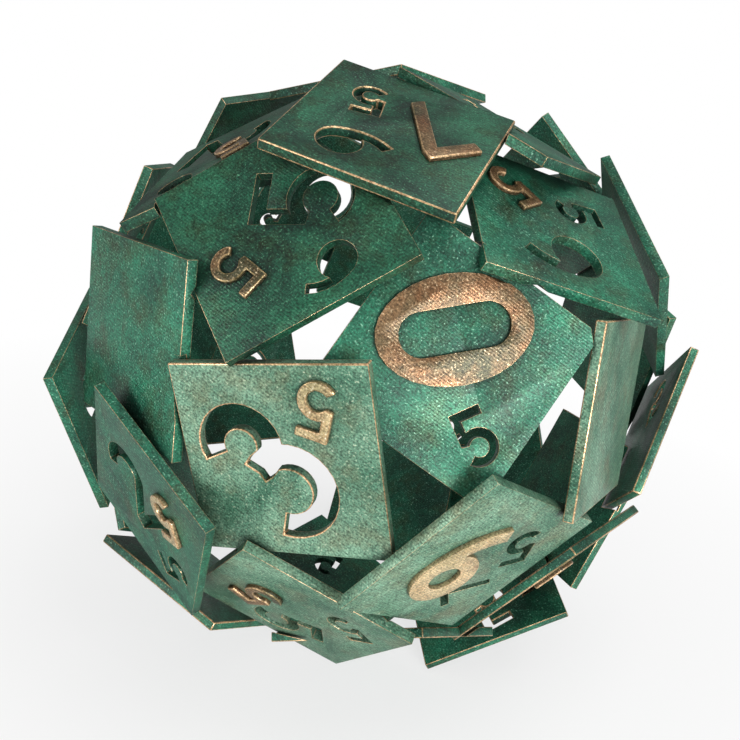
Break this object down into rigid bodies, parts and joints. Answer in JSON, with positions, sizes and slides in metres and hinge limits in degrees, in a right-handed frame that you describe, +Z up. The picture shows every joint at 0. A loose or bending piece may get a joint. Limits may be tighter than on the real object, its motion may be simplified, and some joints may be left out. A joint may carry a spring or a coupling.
{
  "type": "polyhedral die",
  "caption": "Large ball-shaped die of separate square bronze plates with cut-through and raised numerals and open triangular windows.",
  "frame": {"origin": "on the ground, under the middle of the die's footprint box", "axes": "+Z up, -Y towards the plate with the raised nought, +X to its right"},
  "size_m": [0.0724, 0.0696, 0.0673],
  "materials": {
    "plate_bronze": "aged green-brown patina over bronze-infiltrated steel, fine print lines",
    "numeral_brass": "rubbed, warm, slightly rough"
  },
  "bodies": {
    "root": {"numeral_back_high": "numeral_brass", "numeral_back_left": "numeral_brass", "numeral_back_left_low": "numeral_brass", "numeral_back_middle": "numeral_brass", "numeral_back_right_low": "numeral_brass", "numeral_high_five": "numeral_brass", "numeral_high_two": "numeral_brass", "numeral_left_crown": "numeral_brass", "numeral_left_lower": "numeral_brass", "numeral_low_five": "numeral_brass", "numeral_nought": "numeral_brass", "numeral_right_base": "numeral_brass", "numeral_right_low": "numeral_brass", "numeral_right_rear": "numeral_brass", "numeral_seven": "numeral_brass", "numeral_six": "numeral_brass", "numeral_sixes": "numeral_brass", "numeral_three": "numeral_brass", "numeral_two": "numeral_brass", "plate_back_foot": "plate_bronze", "plate_back_high": "plate_bronze", "plate_back_left": "plate_bronze", "plate_back_left_low": "plate_bronze", "plate_back_middle": "plate_bronze", "plate_back_right_low": "plate_bronze", "plate_base": "plate_bronze", "plate_crown": "plate_bronze", "plate_front_crown": "plate_bronze", "plate_high_five": "plate_bronze", "plate_high_two": "plate_bronze", "plate_left_blank": "plate_bronze", "plate_left_crown": "plate_bronze", "plate_left_edge": "plate_bronze", "plate_left_foot": "plate_bronze", "plate_left_lower": "plate_bronze", "plate_left_upper": "plate_bronze", "plate_low_five": "plate_bronze", "plate_nought": "plate_bronze", "plate_right_base": "plate_bronze", "plate_right_blank": "plate_bronze", "plate_right_crown": "plate_bronze", "plate_right_foot": "plate_bronze", "plate_right_low": "plate_bronze", "plate_right_lower": "plate_bronze", "plate_right_rear": "plate_bronze", "plate_right_upper": "plate_bronze", "plate_seven": "plate_bronze", "plate_six": "plate_bronze", "plate_sixes": "plate_bronze", "plate_three": "plate_bronze", "plate_two": "plate_bronze", "plate_underside": "plate_bronze"}
  },
  "joints": []
}
